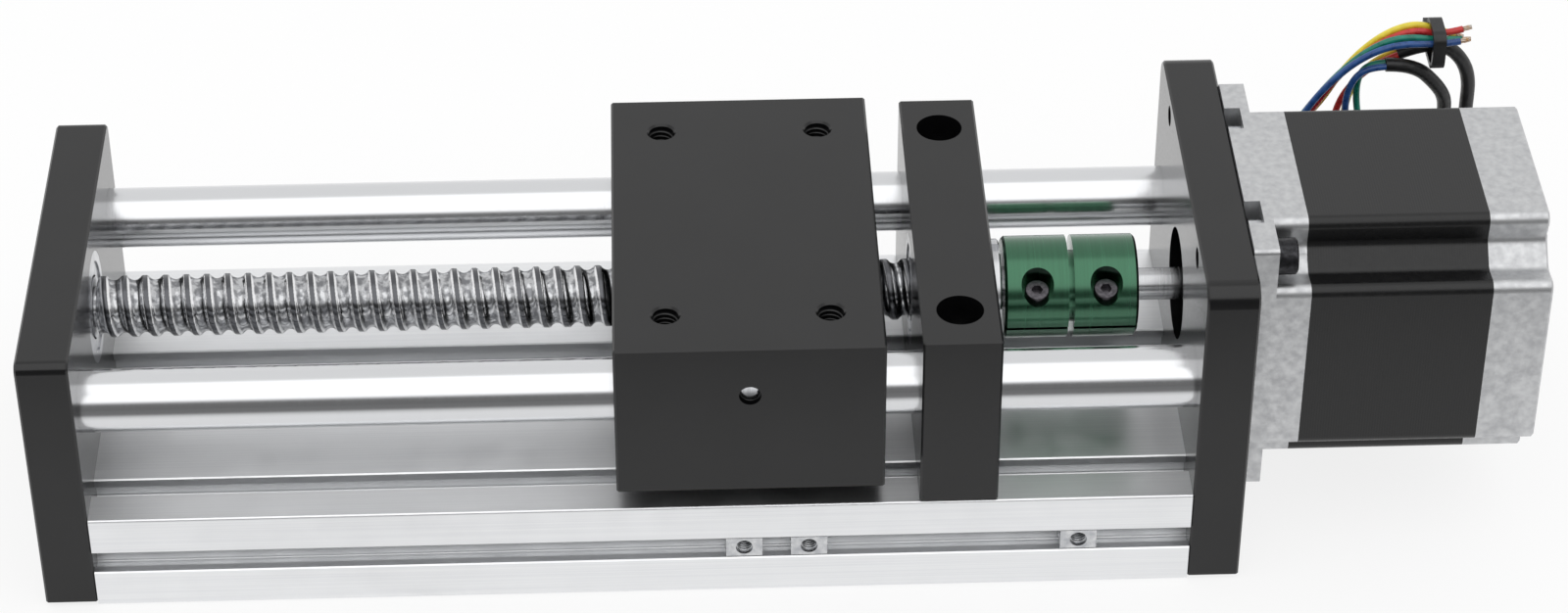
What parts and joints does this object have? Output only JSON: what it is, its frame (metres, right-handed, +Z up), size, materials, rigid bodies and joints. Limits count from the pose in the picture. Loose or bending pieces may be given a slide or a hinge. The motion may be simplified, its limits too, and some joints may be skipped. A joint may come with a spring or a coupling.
{
  "type": "ball screw linear module",
  "caption": "Motorised linear module: a carriage on guide rods, driven along a T-slot base by a ball screw and stepper motor.",
  "frame": {"origin": "centre of the base extrusion's flat underside", "axes": "+X along the travel, from the idler plate to the motor; -Y is the front, with the three slot nuts; +Z up"},
  "size_m": [0.2884, 0.0917, 0.0722],
  "materials": {
    "clear_anodised_aluminium": "sand textured, clear anodised",
    "black_anodised_aluminium": "black anodised, satin",
    "green_anodised_aluminium": "green anodised, turned",
    "hard_chrome_steel": "ground and hard chromed",
    "bearing_steel": "ground",
    "bright_steel": "turned",
    "black_oxide_steel": "black oxide",
    "zinc_steel": "zinc plated",
    "cast_aluminium": "raw die casting",
    "laminated_steel": "black lacquered laminations",
    "black_rubber": "moulded",
    "black_sleeving": "heat shrink sleeving",
    "black_nylon": "moulded nylon",
    "blue_insulation": "extruded",
    "green_insulation": "extruded",
    "red_insulation": "extruded",
    "yellow_insulation": "extruded"
  },
  "bodies": {
    "frame": {"base_extrusion": "clear_anodised_aluminium", "idler_plate": "black_anodised_aluminium", "motor_plate": "black_anodised_aluminium", "idler_plate_screws": "black_oxide_steel", "motor_plate_screws": "black_oxide_steel", "idler_rod_screws": "black_oxide_steel", "motor_rod_screws": "black_oxide_steel", "front_guide_rod": "hard_chrome_steel", "rear_guide_rod": "hard_chrome_steel", "bearing_block": "black_anodised_aluminium", "block_screws": "black_oxide_steel", "rod_set_screws": "black_oxide_steel", "slot_nuts": "zinc_steel", "idler_bearing_outer": "bearing_steel", "block_bearing_outers": "bearing_steel", "motor_front_bell": "cast_aluminium", "motor_stack": "laminated_steel", "motor_rear_bell": "cast_aluminium", "motor_bearing_outers": "bearing_steel", "motor_screws": "black_oxide_steel", "tie_screws": "zinc_steel", "lead_grommet": "black_rubber", "lead_sleeve_inner": "black_sleeving", "lead_sleeve_outer": "black_sleeving", "cable_tie": "black_nylon", "lead_blue": "blue_insulation", "lead_green": "green_insulation", "lead_red": "red_insulation", "lead_yellow": "yellow_insulation"},
    "carriage": {"carriage_block": "black_anodised_aluminium", "front_linear_bearing": "bearing_steel", "rear_linear_bearing": "bearing_steel", "retaining_rings": "black_oxide_steel", "ball_nut": "bearing_steel", "nut_screws": "black_oxide_steel"},
    "screw": {"ball_screw": "bright_steel", "lock_nut": "bright_steel", "idler_bearing_inner": "bearing_steel", "block_bearing_inners": "bearing_steel", "coupling": "green_anodised_aluminium", "coupling_screws": "black_oxide_steel", "motor_shaft": "bright_steel", "motor_rotor": "laminated_steel", "motor_bearing_inners": "bearing_steel"}
  },
  "joints": [
    {"name": "screw_turn", "type": "hinge", "parent": "frame", "child": "screw", "pos_m": [0, 0, 0.042], "axis": [1, 0, 0], "range_deg": [-455, 8825]},
    {"name": "carriage_slide", "type": "slide", "parent": "frame", "child": "carriage", "axis": [1, 0, 0], "range_m": [-0.098, 0.005]}
  ],
  "couplings": [
    {"joint": "screw_turn", "follows": "carriage_slide", "rad_per_m": -1570.8}
  ]
}
